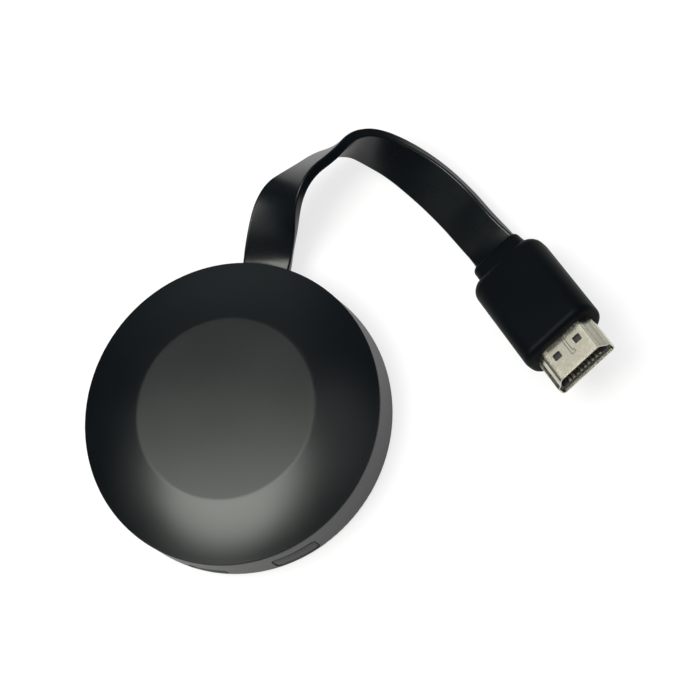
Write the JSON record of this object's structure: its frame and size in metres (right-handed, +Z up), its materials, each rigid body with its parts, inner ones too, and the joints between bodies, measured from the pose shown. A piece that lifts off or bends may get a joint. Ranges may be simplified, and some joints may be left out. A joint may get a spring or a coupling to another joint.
{
  "type": "wireless display dongle",
  "caption": "Round wireless display dongle: domed disc case with a power socket and side button, a short flat cable, and a rectangular display plug.",
  "frame": {"origin": "middle of the round case's underside, on the surface it lies on", "axes": "+Z up out of the domed cover, +Y towards the cable's exit from the case, -Y out of the power socket"},
  "size_m": [0.1115, 0.0975, 0.0185],
  "materials": {
    "cover_plastic": "satin gloss black moulding",
    "case_plastic": "dark grey fine-textured moulding",
    "button_plastic": "dark grey moulding",
    "label": "blank satin label",
    "board": "green solder mask",
    "chip": "black moulded package",
    "pad": "soft blue-grey pad",
    "sink": "black-edged extruded aluminium",
    "tin": "bright tinned steel",
    "screw": "zinc-plated steel",
    "ceramic": "tan ceramic",
    "socket_metal": "nickel-plated steel",
    "socket_insulator": "black nylon",
    "gold": "gold-plated contacts",
    "plunger": "natural nylon",
    "cable_jacket": "satin black flat cable jacket",
    "wire": "wire insulation",
    "grip": "satin black moulded grip",
    "inner_mould": "black inner mould",
    "plug_metal": "warm nickel-plated steel",
    "plug_insulator": "dark insulator"
  },
  "bodies": {
    "dongle": {"top_cover": "cover_plastic", "bottom_case": "case_plastic", "bottom_label": "label", "main_board": "board", "board_screws": "screw", "soc_chip": "chip", "thermal_pad": "pad", "heat_sink": "sink", "memory_chip": "chip", "flash_chip": "chip", "radio_module": "board", "radio_shield": "tin", "radio_antenna": "tin", "crystal": "tin", "power_inductor": "chip", "regulator_chips": "chip", "ceramic_capacitors": "ceramic", "socket_shell": "socket_metal", "socket_tongue": "socket_insulator", "socket_contacts": "gold", "switch_body": "chip", "cable_grommet": "cable_jacket", "signal_wires": "wire", "ribbon_cable": "cable_jacket", "strain_relief": "grip", "plug_overmould": "grip", "plug_inner_mould": "inner_mould", "plug_board": "board", "plug_shell": "plug_metal", "plug_insulator": "plug_insulator", "plug_contacts_upper": "gold", "plug_contacts_lower": "gold"},
    "button": {"mode_button": "button_plastic"},
    "plunger": {"switch_plunger": "plunger"}
  },
  "joints": [
    {"name": "button_press", "type": "slide", "parent": "dongle", "child": "button", "axis": [-0.5736, 0.8192, 0], "range_m": [0, 0.0003], "stiffness_N_per_m": 1000},
    {"name": "plunger_press", "type": "slide", "parent": "dongle", "child": "plunger", "axis": [-0.5736, 0.8192, 0], "range_m": [0, 0.0003]}
  ],
  "couplings": [
    {"joint": "plunger_press", "follows": "button_press", "ratio": 1}
  ]
}
